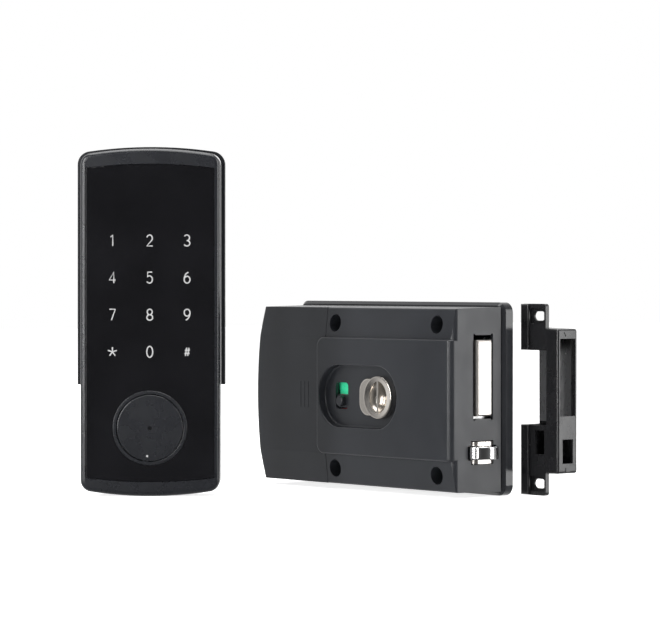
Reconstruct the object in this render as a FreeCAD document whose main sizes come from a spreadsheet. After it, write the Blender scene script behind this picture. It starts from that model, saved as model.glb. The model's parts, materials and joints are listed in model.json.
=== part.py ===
import FreeCAD, Part
import math
import os
import re
import Sketcher

# Keypad smart lock in three separate units that stand side by side:
#   keypad_*  outdoor touch keypad, turned to one side by keypad_yaw
#   lock_*    indoor rim lock: bolt end +X, front -Y, door face at y = 0
#   strike_*  keeper box for the door frame, slots on its +X face
# Lengths are in millimetres, +Z is up.  Every unit is drawn in its own frame
# (front -Y, back y = 0) and moved into place at the end.

Vector = FreeCAD.Vector
doc = FreeCAD.newDocument("KeypadSmartLock")
sheet = doc.addObject("Spreadsheet::Sheet", "Params")

SIZES = {
    # where the units stand
    "stand_low": -46, "keypad_place_x": -45.8, "keypad_place_y": -122.6, "keypad_yaw": 50.5,
    "strike_place_x": 95.9, "strike_place_y": 11,
    # lock base plate and its raised lip
    "base_left": -77.6, "base_right": 76.5, "base_half": 46, "base_deep": 6, "base_round": 5,
    "base_slope": 1.5, "base_floor": 3, "lip_deep": 7.2, "lip_half": 42.4, "lip_right": 74.4,
    "lip_left": -72.2, "wall": 2,
    # lock cover: y of the bands, of the raised panel and of the recess floor
    "cover_left": -73.6, "cover_right": 75.8, "cover_half": 43.8, "front_half": 43.2,
    "band_low": 35.6, "band_high": 37.2, "panel_high": 39.4, "panel_half": 28.6,
    "panel_left": -23.2, "panel_round": 5, "parting": -18.6, "end_arc": 205, "end_round": 3,
    "roof": 33, "inner_half": 41.7, "inner_front_half": 41.2, "part_gap": 0.15,
    "recess_mid": 7.75, "recess_long": 58.5, "recess_tall": 30.2, "recess_floor": 35,
    "slot_mid": -8.65, "slot_wide": 9.6, "slot_tall": 13, "slot_round": 2,
    "panel_edge": 0.9, "recess_edge": 0.7, "floor_edge": 0.8, "cover_edge": 1,
    "bow_edge": 1.6, "rib_first": -38, "rib_pitch": 3, "rib_wide": 0.7, "rib_half": 6.5,
    "rib_deep": 0.12, "passage_left": -10, "passage_right": 8, "passage_low": -30,
    "passage_high": -20, "passage_round": 3,
    # the four mounting screw positions
    "screw_left": -12, "screw_right": 63, "screw_high": 35.6, "screw_head": 8.5,
    "screw_tube": 10.4, "screw_bore": 4.6,
    # thumb-turn
    "turn_x": 22, "disc_wide": 20.6, "disc_front": 38.5, "disc_back": 35.3, "lobe_reach": 14.3,
    "lobe_half": 9.2, "lobe_round": 6.5,
    "lobe_front": 38.1, "hub_wide": 14, "hub_back": 30.5, "scoop_arc": 8.75, "scoop_centre": 2.05,
    "scoop_ahead": 1.5, "fin_wide": 1.2, "fin_half": 7.8, "fin_front": 38.3,
    "spindle_wide": 8, "spindle_back": 1, "shaft_slot": 2.2,
    # deadbolt, its guide and the cam that drives it
    "bolt_front": 24, "bolt_back": 14.6, "bolt_low": -7.5, "bolt_high": 28.3, "bolt_tip": 77.9,
    "bolt_rear": 44, "bolt_round": 1.2, "window_front": 24.7, "window_back": 12.3,
    "window_low": -8.9, "window_high": 30.7, "relief": 1.2, "tail_front": 18.4, "tail_back": 16.4,
    "tail_left": 5, "tail_low": 4.6, "tail_high": 15.4, "pin_reach": 12.7, "pin_wide": 4,
    "pin_slot": 5, "lean_share": 0.7071, "cam_back": 9.5, "cam_front": 12.5, "cam_rim": 3,
    "cam_trim": 6, "guide_left": 58, "guide_long": 14, "guide_wall": 2, "guide_gap": 0.25,
    # latch roller
    "roller_x": 75.1, "roller_y": 19.1, "roller_z": -24.8, "roller_wide": 16.4, "roller_tall": 6,
    "nose_half": 6.6, "nose_tip": 77.5, "nose_round": 3, "nose_clear": 0.5, "axle_wide": 3,
    "axle_short": 0.2, "fork_high": -19.6, "fork_low": -29.9, "fork_gap": 0.3,
    "spring_left": 41, "spring_wide": 6, "spring_long": 13.6, "wire_wide": 0.8,
    "carriage_rear": 55, "carriage_front": 66, "carriage_rise": 1.2, "fork_root": 6,
    "bracket_left": 38.5, "bracket_wall": 2, "bracket_foot": 53, "bracket_right": 66,
    "bracket_deep": 21, "on_floor": 4.2,
    # privacy slider
    "button_wide": 5, "button_front": 37, "slider_front": 34.3, "slider_back": 31.6,
    "slider_low": -6.1, "slider_high": 0.5, "flag_front": 31.2, "flag_back": 30.4,
    # batteries
    "cell_wide": 14.2, "cell_long": 49.3, "cell_nub": 5.5, "cell_near": 11.3, "cell_far": 25.7,
    "cell_left": -50.3, "cell_right": -35.7, "cell_tip": 1.2, "tray_side": 1.9,
    "tray_half": 30.2, "tray_deep": 19, "tray_gap": 0.6, "tray_wall": 1.2, "contact_half": 5,
    "contact_long": 9, "contact_thick": 0.4, "contact_low": -28.6, "contact_high": 28.2,
    # drive inside the lock
    "chassis_left": 9, "chassis_right": 71.5, "chassis_half": 28, "chassis_thick": 1.2,
    "board_left": -15.5, "board_right": 3, "board_half": 27, "board_back": 6.2,
    "board_front": 7.8, "chip_front": 9.2, "socket_front": 13,
    "motor_x": 4.2, "motor_y": 26, "motor_low": -39.6, "motor_wide": 11.6, "motor_long": 20,
    "gear_half": 5.6, "gear_low": -19.6, "gear_high": -10.8, "stem_wide": 2, "worm_wide": 6,
    "worm_half": 7, "wheel_back": 23.5, "wheel_thick": 5, "wheel_wide": 29, "tooth_from": 13,
    "tooth_to": 15.5, "tooth_half": 0.8, "sensor_left": 46, "sensor_right": 54,
    "sensor_front": 12, "sensor_low": -17, "sensor_high": -10, "strip_half": 6.4,
    "strip_tall": 8, "strip_thick": 2,
    # keypad unit
    "pad_wide": 66, "pad_tall": 165, "pad_arc": 3, "pad_round": 5.5, "pad_front": 21.4,
    "pad_back": 3.2, "shroud_wide": 70.4, "shroud_top": 166.2, "shroud_low": 52.8,
    "shroud_deep": 9.5, "glass_wide": 61, "glass_low": 6.9, "glass_high": 157.7,
    "glass_arc": 2, "glass_round": 2, "glass_deep": 1.8, "cap_z": 32.5, "ring_wide": 35.4,
    "ring_inner": 32, "cap_wide": 31.4, "cap_front": 22, "pinhole": 2, "cylinder_wide": 28,
    "plug_wide": 13, "plug_front": 16, "tail_reach": 26, "key_wide": 2, "key_tall": 8.5,
    "key_across": 17.7, "key_up": 17.6, "key_low": 68.6, "key_pad": 9, "gasket_thick": 1.2,
    "gasket_side": 24, "gasket_low": 14, "gasket_high": 149, "cord_half": 9, "cord_low": 92,
    "cord_high": 102, "cord_round": 4, "post_low": 62, "post_high": 142, "post_wide": 5.8,
    "post_bore": 3.3, "post_long": 9, "pad_edge": 2.1, "pad_roof": 3.2, "ledge_low": 12,
    "ledge_high": 152, "skirt_wide": 26, "skirt_inner": 23, "touch_half": 27, "touch_low": 54,
    "touch_high": 150, "screw_side": 28.5, "screw_lower": 40, "screw_upper": 130,
    "main_half": 26, "main_low": 52, "main_high": 148, "main_front": 14, "main_back": 12.4,
    "chip_half": 8, "buzzer_x": 16, "buzzer_z": 76, "buzzer_wide": 12,
    # strike
    "box_deep": 12.8, "box_high": 33.4, "box_low": 35.2, "strike_half": 46, "strike_wide": 24.8,
    "box_taper": 0.7, "lug_right": 8.4, "lug_mid": 39.5, "lug_lower": -40.4, "lug_screw": 13.8,
    "lug_slot": 7.5, "lug_bore": 4.4, "lug_deep": 2.2, "lug_round": 1.6, "dish_deep": 0.9,
    "dish_half": 3.6, "dish_round": 1, "rail_wide": 5.5, "rail_proud": 1.2, "rail_edge": 0.8,
    "port_left": -15.8, "port_right": -9.4, "port_low": -26.4, "port_high": -15,
    "tab_wide": 4.8, "tab_tall": 2.2, "tab_proud": 0.3, "magnet_left": -22, "magnet_right": -9,
    "magnet_low": -33, "magnet_high": -28, "magnet_deep": 3, "liner_thick": 0.9,
    "liner_right": -2, "liner_low": -11, "liner_high": 31, "beyond": 3,
    "notch_low": -12.4, "notch_high": 23.2, "notch_right": 8, "skin": 1.4,
}


def fill_sheet():
    """One row for every size: name in column A, plain number in column B."""
    for row, (name, number) in enumerate(SIZES.items(), start=1):
        sheet.set("A%d" % row, name)
        sheet.set("B%d" % row, str(number))
        sheet.setAlias("B%d" % row, name)
    doc.recompute()


def cells(text):
    """Expression text with every size name pointed at the sheet."""
    return re.sub(r"[a-z][a-z_]*[a-z]", lambda word: "Params." + word.group(0), str(text))


def size(text):
    return float(sheet.evalExpression(cells(text)))


# ---------------------------------------------------------------- sketch tools

def new_body(label):
    body = doc.addObject("PartDesign::Body", label)
    body.Label = label
    return body


def sketch_on(body, role, offset="0"):
    """Sketch on an origin plane.  XZ_Plane looks along -Y, so offset is depth to the front."""
    plane = [item for item in body.Origin.OriginFeatures if item.Role == role][0]
    sketch = body.newObject("Sketcher::SketchObject", body.Label + "_sketch")
    sketch.AttachmentSupport = (plane, [""])
    sketch.MapMode = "FlatFace"
    sketch.setExpression(".AttachmentOffset.Base.z", cells(offset))
    return sketch


def dimension(sketch, kind, where, text):
    index = sketch.addConstraint(Sketcher.Constraint(kind, *where, size(text)))
    sketch.setExpression("Constraints[%d]" % index, cells(text))


def fix_point(sketch, geo, end, across, up):
    dimension(sketch, "DistanceX", (-1, 1, geo, end), across)
    dimension(sketch, "DistanceY", (-1, 1, geo, end), up)


def add_line(sketch, start, stop):
    line = Part.LineSegment(Vector(*start, 0), Vector(*stop, 0))
    return sketch.addGeometry(line, False)


def add_arc(sketch, centre, radius, begin, finish):
    circle = Part.Circle(Vector(*centre, 0), Vector(0, 0, 1), radius)
    arc = Part.ArcOfCircle(circle, math.radians(begin), math.radians(finish))
    return sketch.addGeometry(arc, False)


def join(sketch, first, first_end, second, second_end, kind="Coincident"):
    sketch.addConstraint(Sketcher.Constraint(kind, first, first_end, second, second_end))


def polygon(sketch, corners):
    spots = [(size(across), size(up)) for across, up in corners]
    count = len(spots)
    sides = [add_line(sketch, spots[k], spots[(k + 1) % count]) for k in range(count)]
    for k in range(count):
        join(sketch, sides[k], 2, sides[(k + 1) % count], 1)
    for side, (across, up) in zip(sides, corners):
        fix_point(sketch, side, 1, across, up)


def rectangle(sketch, left, right, low, high):
    polygon(sketch, [(left, low), (right, low), (right, high), (left, high)])


def circle(sketch, across, up, wide):
    shape = Part.Circle(Vector(size(across), size(up), 0), Vector(0, 0, 1), size(wide) / 2)
    geo = sketch.addGeometry(shape, False)
    fix_point(sketch, geo, 3, across, up)
    dimension(sketch, "Diameter", (geo,), wide)


def round_rectangle(sketch, left, right, low, high, radius):
    """Four lines joined by four tangent arcs."""
    lo_x, hi_x = "%s + (%s)" % (left, radius), "%s - (%s)" % (right, radius)
    lo_z, hi_z = "%s + (%s)" % (low, radius), "%s - (%s)" % (high, radius)
    middles = [(lo_x, lo_z, 180), (hi_x, lo_z, 270), (hi_x, hi_z, 0), (lo_x, hi_z, 90)]
    r = size(radius)
    arcs = []
    for across, up, begin in middles:
        arc = add_arc(sketch, (size(across), size(up)), r, begin, begin + 90)
        fix_point(sketch, arc, 3, across, up)
        dimension(sketch, "Radius", (arc,), radius)
        arcs.append(arc)
    for k in range(4):
        this, following = sketch.Geometry[arcs[k]], sketch.Geometry[arcs[(k + 1) % 4]]
        start, stop = this.EndPoint, following.StartPoint
        line = add_line(sketch, (start.x, start.y), (stop.x, stop.y))
        join(sketch, arcs[k], 2, line, 1, "Tangent")
        join(sketch, line, 2, arcs[(k + 1) % 4], 1, "Tangent")


def stadium(sketch, centre, up, long, tall):
    """Slot outline with round ends, long way across."""
    r = size(tall) / 2
    reach = "(%s - %s) / 2" % (long, tall)
    right = add_arc(sketch, (size(centre) + size(reach), size(up)), r, -90, 90)
    left = add_arc(sketch, (size(centre) - size(reach), size(up)), r, 90, 270)
    fix_point(sketch, right, 3, "%s + %s" % (centre, reach), up)
    fix_point(sketch, left, 3, "%s - %s" % (centre, reach), up)
    for arc in (right, left):
        dimension(sketch, "Radius", (arc,), "%s / 2" % tall)
    for first, second in ((right, left), (left, right)):
        start = sketch.Geometry[first].EndPoint
        stop = sketch.Geometry[second].StartPoint
        line = add_line(sketch, (start.x, start.y), (stop.x, stop.y))
        join(sketch, first, 2, line, 1, "Tangent")
        join(sketch, line, 2, second, 1, "Tangent")


def bow_left(sketch, apex, right, half, radius):
    """Rectangle whose left side is one shallow outward arc."""
    r, h = size(radius), size(half)
    drop = r - math.sqrt(r * r - h * h)
    x, far = size(apex), size(right)
    angle = math.degrees(math.asin(h / r))
    arc = add_arc(sketch, (x + r, 0), r, 180 - angle, 180 + angle)
    low = add_line(sketch, (x + drop, -h), (far, -h))
    side = add_line(sketch, (far, -h), (far, h))
    high = add_line(sketch, (far, h), (x + drop, h))
    join(sketch, arc, 2, low, 1)
    join(sketch, low, 2, side, 1)
    join(sketch, side, 2, high, 1)
    join(sketch, high, 2, arc, 1)
    fix_point(sketch, arc, 3, "%s + %s" % (apex, radius), "0")
    dimension(sketch, "Radius", (arc,), radius)
    fix_point(sketch, low, 2, right, "-(%s)" % half)
    fix_point(sketch, side, 2, right, half)
    sketch.addConstraint(Sketcher.Constraint("Horizontal", low))
    sketch.addConstraint(Sketcher.Constraint("Horizontal", high))


def arched(sketch, wide, low, high, arc):
    """Upright plate outline: straight sides, top and bottom edges bowed outward.
    low and high are the arc crowns, arc is how far the corners stay behind them."""
    half, rise = size(wide) / 2, size(arc)
    radius = "((%s) * (%s) / 4 + (%s) * (%s)) / (2 * (%s))" % (wide, wide, arc, arc, arc)
    r = size(radius)
    z0, z1 = size(low), size(high)
    angle = math.degrees(math.asin(half / r))
    right = add_line(sketch, (half, z0 + rise), (half, z1 - rise))
    left = add_line(sketch, (-half, z1 - rise), (-half, z0 + rise))
    top = add_arc(sketch, (0, z1 - r), r, 90 - angle, 90 + angle)
    bottom = add_arc(sketch, (0, z0 + r), r, 270 - angle, 270 + angle)
    join(sketch, right, 2, top, 1)
    join(sketch, top, 2, left, 1)
    join(sketch, left, 2, bottom, 1)
    join(sketch, bottom, 2, right, 1)
    fix_point(sketch, right, 1, "(%s) / 2" % wide, "%s + %s" % (low, arc))
    fix_point(sketch, right, 2, "(%s) / 2" % wide, "%s - (%s)" % (high, arc))
    fix_point(sketch, left, 1, "-(%s) / 2" % wide, "%s - (%s)" % (high, arc))
    fix_point(sketch, left, 2, "-(%s) / 2" % wide, "%s + %s" % (low, arc))
    dimension(sketch, "Radius", (top,), radius)
    dimension(sketch, "Radius", (bottom,), radius)


# --------------------------------------------------------------- feature tools

def pad(body, sketch, length):
    feature = body.newObject("PartDesign::Pad", body.Label + "_pad")
    feature.Profile = sketch
    feature.setExpression("Length", cells(length))
    doc.recompute()
    return feature


def cut(body, sketch, length, along=False):
    """Pocket against the sketch normal, or along it."""
    feature = body.newObject("PartDesign::Pocket", body.Label + "_pocket")
    feature.Profile = sketch
    feature.Reversed = along
    feature.setExpression("Length", cells(length))
    doc.recompute()
    return feature


def soften(body, test, radius, kind="Fillet"):
    """Fillet or chamfer on every edge of the tip whose middle passes the test."""
    tip = body.Tip
    names = []
    for number, edge in enumerate(tip.Shape.Edges, start=1):
        if test(edge.CenterOfMass, edge):
            names.append("Edge%d" % number)
    feature = body.newObject("PartDesign::" + kind, body.Label + "_" + kind.lower())
    feature.Base = (tip, names)
    feature.setExpression("Radius" if kind == "Fillet" else "Size", cells(radius))
    doc.recompute()
    return feature


def runs_along(edge, axis):
    """True for a straight edge parallel to the axis letter."""
    if edge.Curve.TypeId != "Part::GeomLine":
        return False
    way = edge.Curve.Direction
    return abs({"x": way.x, "y": way.y, "z": way.z}[axis]) > 0.999


def box_part(label, left, right, front, back, low, high):
    """Plain block; front and back are depths in front of y = 0."""
    box = doc.addObject("Part::Box", label)
    box.Label = label
    box.setExpression("Length", cells("%s - (%s)" % (right, left)))
    box.setExpression("Width", cells("%s - (%s)" % (front, back)))
    box.setExpression("Height", cells("%s - (%s)" % (high, low)))
    box.setExpression(".Placement.Base.x", cells(left))
    box.setExpression(".Placement.Base.y", cells("-(%s)" % front))
    box.setExpression(".Placement.Base.z", cells(low))
    return box


def rod(label, across, deep, up, wide, long, axis):
    """Round bar from its start point along +x, -y (axis f for front) or +z."""
    turned = {
        "x": FreeCAD.Rotation(Vector(0, 1, 0), 90),
        "f": FreeCAD.Rotation(Vector(1, 0, 0), 90),
        "z": FreeCAD.Rotation(),
    }
    bar = doc.addObject("Part::Cylinder", label)
    bar.Label = label
    bar.setExpression("Radius", cells("(%s) / 2" % wide))
    bar.setExpression("Height", cells(long))
    bar.Placement = FreeCAD.Placement(Vector(0, 0, 0), turned[axis])
    bar.setExpression(".Placement.Base.x", cells(across))
    bar.setExpression(".Placement.Base.y", cells("-(%s)" % deep))
    bar.setExpression(".Placement.Base.z", cells(up))
    return bar


def combine(label, shapes, kind="Part::Compound"):
    """Several shapes as one object: separate solids, or fused with Part::MultiFuse."""
    whole = doc.addObject(kind, label)
    whole.Label = label
    if kind == "Part::Compound":
        whole.Links = shapes
    else:
        whole.Shapes = shapes
    return whole


def subtract(label, base, tools):
    tool = tools[0] if len(tools) == 1 else combine(label + "_tools", tools, "Part::MultiFuse")
    result = doc.addObject("Part::Cut", label)
    result.Label = label
    result.Base = base
    result.Tool = tool
    return result


fill_sheet()
NODES = []


def keep(node, unit="lock"):
    NODES.append((node, unit))
    return node


# ------------------------------------------------------------------- rim lock

SCREWS = [(x, z) for x in ("screw_left", "screw_right") for z in ("screw_high", "-screw_high")]


def at_screws(body, offset, wide):
    sketch = sketch_on(body, "XZ_Plane", offset)
    for across, up in SCREWS:
        circle(sketch, across, up, wide)
    return sketch


def lock_base():
    """Door-side plate with sloped rim, raised lip, screw bosses and passages."""
    body = new_body("lock_base")
    outline = sketch_on(body, "XZ_Plane")
    round_rectangle(outline, "base_left", "base_right", "-base_half", "base_half", "base_round")
    pad(body, outline, "base_deep")
    front = -size("base_deep")
    soften(body, lambda mid, edge: abs(mid.y - front) < 0.01, "base_slope", "Chamfer")
    lip = sketch_on(body, "XZ_Plane", "base_deep")
    bow_left(lip, "lip_left", "lip_right", "lip_half", "end_arc")
    pad(body, lip, "lip_deep - base_deep")
    room = sketch_on(body, "XZ_Plane", "lip_deep")
    bow_left(room, "lip_left + wall", "lip_right - wall", "lip_half - wall", "end_arc")
    cut(body, room, "lip_deep - base_floor")
    pad(body, at_screws(body, "base_floor", "screw_tube"), "lip_deep - base_floor")
    cut(body, at_screws(body, "lip_deep", "screw_bore"), "lip_deep")
    shaft = sketch_on(body, "XZ_Plane", "base_floor")
    circle(shaft, "turn_x", "0", "spindle_wide + 1")
    cut(body, shaft, "base_floor")
    passage = sketch_on(body, "XZ_Plane", "base_floor")
    round_rectangle(passage, "passage_left", "passage_right", "passage_low", "passage_high",
                    "passage_round")
    cut(body, passage, "base_floor")
    return body


def slope_bands(body, left, right):
    """Take the draft off top and bottom, and slope the bands beside the panel."""
    for sign in ("", "-"):
        wedge = sketch_on(body, "YZ_Plane", left)
        polygon(wedge, [
            ("-lip_deep", sign + "cover_half"),
            ("-band_low", sign + "front_half"),
            ("-band_high", sign + "panel_half"),
            ("-band_high - 5", sign + "panel_half"),
            ("-band_high - 5", sign + "(cover_half + 5)"),
            ("-lip_deep", sign + "(cover_half + 5)"),
        ])
        cut(body, wedge, "%s - (%s)" % (right, left), along=True)


def round_long_edges(body, radius):
    """Round the long front edges above and below the bands."""
    depth = -size("band_low")
    soften(
        body,
        lambda mid, edge: runs_along(edge, "x") and abs(mid.y - depth) < 0.3 and abs(mid.z) > 40,
        radius,
    )


def lock_cover():
    """Main cover: shell, raised panel, stadium recess, screw tubes and bolt windows."""
    body = new_body("lock_cover")
    profile = sketch_on(body, "XY_Plane", "-cover_half")
    round_corner(profile, "parting + part_gap", "cover_right", "-lip_deep", "-band_high")
    pad(body, profile, "2 * cover_half")
    slope_bands(body, "parting - 1", "cover_right + 1")
    round_long_edges(body, "cover_edge")
    panel = sketch_on(body, "XY_Plane", "-panel_half")
    round_corner(panel, "panel_left", "cover_right", "-roof", "-panel_high")
    pad(body, panel, "2 * panel_half")
    left = size("panel_left")
    soften(body, lambda mid, edge: runs_along(edge, "y") and abs(mid.x - left) < 0.1, "panel_round")
    high = -size("panel_high")
    soften(body, lambda mid, edge: abs(mid.y - high) < 0.01 and mid.x < 72, "panel_edge")
    room = sketch_on(body, "YZ_Plane", "parting + part_gap + wall")
    polygon(room, [
        ("-lip_deep + 1", "-inner_half"),
        ("-roof", "-inner_front_half"),
        ("-roof", "inner_front_half"),
        ("-lip_deep + 1", "inner_half"),
    ])
    cut(body, room, "cover_right - parting - part_gap - 2 * wall", along=True)
    pad(body, at_screws(body, "lip_deep", "screw_tube"), "roof - lip_deep")
    recess = sketch_on(body, "XZ_Plane", "panel_high")
    stadium(recess, "recess_mid", "0", "recess_long", "recess_tall")
    cut(body, recess, "panel_high - recess_floor")
    floor = -size("recess_floor")
    soften(
        body,
        lambda mid, edge: abs(mid.y - high) < 0.01 and abs(mid.z) < 20 and left + 1.5 < mid.x < 50,
        "recess_edge",
    )
    soften(body, lambda mid, edge: abs(mid.y - floor) < 0.01 and abs(mid.z) < 20, "floor_edge")
    slot = sketch_on(body, "XZ_Plane", "recess_floor + 1")
    round_rectangle(
        slot, "slot_mid - slot_wide / 2", "slot_mid + slot_wide / 2",
        "-slot_tall / 2", "slot_tall / 2", "slot_round",
    )
    circle(slot, "turn_x", "0", "hub_wide + 0.6")
    cut(body, slot, "recess_floor + 2 - roof")
    cut(body, at_screws(body, "panel_high", "screw_head"), "panel_high")
    window = sketch_on(body, "YZ_Plane", "cover_right - wall - 1")
    rectangle(window, "-window_front", "-window_back", "window_low", "window_high")
    across, nose = "(roller_wide / 2 + 0.8)", "(nose_half + 0.5)"
    high_roller = "roller_z + roller_tall / 2 + 0.5"
    low_roller = "roller_z - roller_tall / 2 - 0.5"
    polygon(window, [
        ("-roller_y - " + nose, "fork_low - 0.4"),
        ("-roller_y + " + nose, "fork_low - 0.4"),
        ("-roller_y + " + nose, low_roller),
        ("-roller_y + " + across, low_roller),
        ("-roller_y + " + across, high_roller),
        ("-roller_y + " + nose, high_roller),
        ("-roller_y + " + nose, "fork_high + 0.4"),
        ("-roller_y - " + nose, "fork_high + 0.4"),
        ("-roller_y - " + nose, high_roller),
        ("-roller_y - " + across, high_roller),
        ("-roller_y - " + across, low_roller),
        ("-roller_y - " + nose, low_roller),
    ])
    cut(body, window, "wall + 2", along=True)
    reliefs = sketch_on(body, "YZ_Plane", "cover_right - wall - 1")
    for left in ("-window_front", "-window_back - relief"):
        rectangle(reliefs, left, left + " + relief", "window_high - 1", "window_high + relief / 2")
        rectangle(reliefs, left, left + " + relief", "window_low - relief / 2", "window_low + 1")
    cut(body, reliefs, "wall + 2", along=True)
    return body


def round_corner(sketch, left, right, back, front):
    """Box outline seen from above whose front right corner has the end radius."""
    r = size("end_round")
    x0, x1, y0, y1 = size(left), size(right), size(back), size(front)
    back_side = add_line(sketch, (x1, y0), (x0, y0))
    left_side = add_line(sketch, (x0, y0), (x0, y1))
    front_side = add_line(sketch, (x0, y1), (x1 - r, y1))
    arc = add_arc(sketch, (x1 - r, y1 + r), r, 270, 360)
    right_side = add_line(sketch, (x1, y1 + r), (x1, y0))
    join(sketch, back_side, 2, left_side, 1)
    join(sketch, left_side, 2, front_side, 1)
    join(sketch, front_side, 2, arc, 1, "Tangent")
    join(sketch, arc, 2, right_side, 1, "Tangent")
    join(sketch, right_side, 2, back_side, 1)
    fix_point(sketch, back_side, 1, right, back)
    fix_point(sketch, back_side, 2, left, back)
    fix_point(sketch, left_side, 2, left, front)
    fix_point(sketch, arc, 3, "%s - end_round" % right, "%s + end_round" % front)
    dimension(sketch, "Radius", (arc,), "end_round")


def battery_cover():
    """Left end of the front: bowed shell, notched round the panel's tongue."""
    body = new_body("lock_battery_cover")
    outline = sketch_on(body, "XZ_Plane", "lip_deep")
    bow_left(outline, "cover_left", "parting - part_gap", "cover_half", "end_arc")
    pad(body, outline, "band_high - lip_deep")
    bow = size("cover_left") + 10
    slope_bands(body, "cover_left - 1", "parting + 1")
    depth = -size("lip_deep")
    soften(
        body,
        lambda mid, edge: mid.x < bow and mid.y < depth - 5 and not runs_along(edge, "x"),
        "bow_edge",
    )
    room = sketch_on(body, "XZ_Plane", "lip_deep")
    bow_left(room, "cover_left + wall", "parting", "inner_front_half", "end_arc")
    cut(body, room, "roof + 0.6 - lip_deep", along=True)
    notch = sketch_on(body, "XZ_Plane", "panel_high")
    round_rectangle(
        notch, "panel_left - 2 * part_gap", "parting + 12",
        "-panel_half - 2 * part_gap", "panel_half + 2 * part_gap", "panel_round",
    )
    cut(body, notch, "panel_high - roof + 0.4")
    ribs = sketch_on(body, "XZ_Plane", "band_high")
    for number in range(3):
        across = "rib_first + %d * rib_pitch" % number
        rectangle(ribs, across, across + " + rib_wide", "-rib_half", "rib_half")
    cut(body, ribs, "rib_deep")
    return body


def battery_tray():
    body = new_body("lock_battery_tray")
    outline = sketch_on(body, "XZ_Plane", "base_floor")
    left, right = "cell_left - cell_wide / 2", "cell_right + cell_wide / 2"
    rectangle(outline, left + " - tray_side", right + " + tray_side", "-tray_half", "tray_half")
    pad(body, outline, "tray_deep")
    room = sketch_on(body, "XZ_Plane", "base_floor + tray_deep")
    rectangle(room, left + " - tray_gap", right + " + tray_gap",
              "-tray_half + tray_wall", "tray_half - tray_wall")
    cut(body, room, "tray_deep - 1")
    return body


def battery_cells():
    cells_list = []
    for number, (across, deep) in enumerate(
        [("cell_left", "cell_near"), ("cell_right", "cell_near"),
         ("cell_left", "cell_far"), ("cell_right", "cell_far")]
    ):
        up = number in (0, 3)
        start = "-cell_long / 2"
        can = rod("cell_can_%d" % number, across, deep, start, "cell_wide", "cell_long", "z")
        nub_start = "cell_long / 2" if up else "-cell_long / 2 - cell_tip"
        nub = rod("cell_nub_%d" % number, across, deep, nub_start, "cell_nub", "cell_tip", "z")
        cells_list.append(combine("cell_%d" % number, [can, nub], "Part::MultiFuse"))
    return combine("lock_battery_cells", cells_list)


def battery_contacts():
    plates = []
    for across in ("cell_left", "cell_right"):
        for deep in ("cell_near", "cell_far"):
            for number, low in enumerate(("contact_low", "contact_high")):
                label = "contact_%s_%s_%d" % (across, deep, number)
                front = "%s + 4.5" % deep if deep == "cell_near" else "%s - 4" % deep
                plates.append(box_part(
                    label, across + " - contact_half", across + " + contact_half",
                    front, "%s - contact_long" % front, low, low + " + contact_thick",
                ))
    return combine("lock_battery_contacts", plates)


def thumb_turn():
    """Disc with a pointer lobe, double scoop either side of a thin fin, hub and shaft."""
    body = new_body("lock_thumb_turn")
    lobe = sketch_on(body, "XZ_Plane", "disc_back")
    round_rectangle(lobe, "turn_x - lobe_reach", "turn_x", "-lobe_half", "lobe_half", "lobe_round")
    pad(body, lobe, "lobe_front - disc_back")
    front = -size("lobe_front")
    soften(body, lambda mid, edge: abs(mid.y - front) < 0.01, "1.1")
    disc = sketch_on(body, "XZ_Plane", "disc_back")
    circle(disc, "turn_x", "0", "disc_wide")
    pad(body, disc, "disc_front - disc_back")
    crown = -size("disc_front")
    soften(body, lambda mid, edge: abs(mid.y - crown) < 0.01, "0.5")
    hub = sketch_on(body, "XZ_Plane", "hub_back")
    circle(hub, "turn_x", "0", "hub_wide")
    pad(body, hub, "disc_back + 0.5 - hub_back")
    shaft = sketch_on(body, "XZ_Plane", "spindle_back")
    circle(shaft, "turn_x", "0", "spindle_wide")
    pad(body, shaft, "hub_back + 1 - spindle_back")
    dish = sketch_on(body, "XY_Plane")
    reach = "disc_wide / 2 - 0.8"
    polygon(dish, [
        ("turn_x", "-disc_front - 0.2"),
        ("turn_x + " + reach, "-disc_front - 0.2"),
        ("turn_x + " + reach, "-disc_front"),
        ("turn_x + 6.2", "-disc_front + 0.7"),
        ("turn_x", "-disc_front + 0.7"),
    ])
    turn_groove(body, dish)
    scoop = sketch_on(body, "YZ_Plane", "turn_x")
    middle = "-disc_front - scoop_ahead"
    r = size("scoop_arc")
    y_mid, away = size(middle), size("scoop_centre")
    rise = math.sqrt(r * r - away * away)
    angle = math.degrees(math.acos(away / r))
    arc = add_arc(scoop, (y_mid - away, 0), r, -angle, angle)
    chord = add_line(scoop, (y_mid, rise), (y_mid, -rise))
    join(scoop, arc, 2, chord, 1)
    join(scoop, chord, 2, arc, 1)
    fix_point(scoop, arc, 3, middle + " - scoop_centre", "0")
    dimension(scoop, "Radius", (arc,), "scoop_arc")
    dimension(scoop, "DistanceX", (-1, 1, chord, 1), middle)
    dimension(scoop, "DistanceX", (-1, 1, chord, 2), middle)
    turn_groove(body, scoop)
    for start, half in (("disc_back + 0.1", "fin_half"), ("disc_back - 2.2", "(fin_half - 2.2)")):
        fin = sketch_on(body, "XZ_Plane", start)
        rectangle(fin, "turn_x - fin_wide / 2", "turn_x + fin_wide / 2", "-" + half, half)
        pad(body, fin, "fin_front - (%s)" % start)
    slot = sketch_on(body, "XZ_Plane", "9")
    rectangle(slot, "turn_x - shaft_slot / 2", "turn_x + shaft_slot / 2",
              "-spindle_wide / 2 + 0.8", "spindle_wide / 2 - 0.8")
    cut(body, slot, "9")
    return body


def turn_groove(body, sketch):
    """Full-turn groove about the last side drawn in the sketch."""
    groove = body.newObject("PartDesign::Groove", body.Label + "_groove")
    groove.Profile = sketch
    groove.ReferenceAxis = (sketch, ["Edge%d" % len(sketch.Geometry)])
    groove.Angle = 360
    doc.recompute()
    return groove


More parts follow.
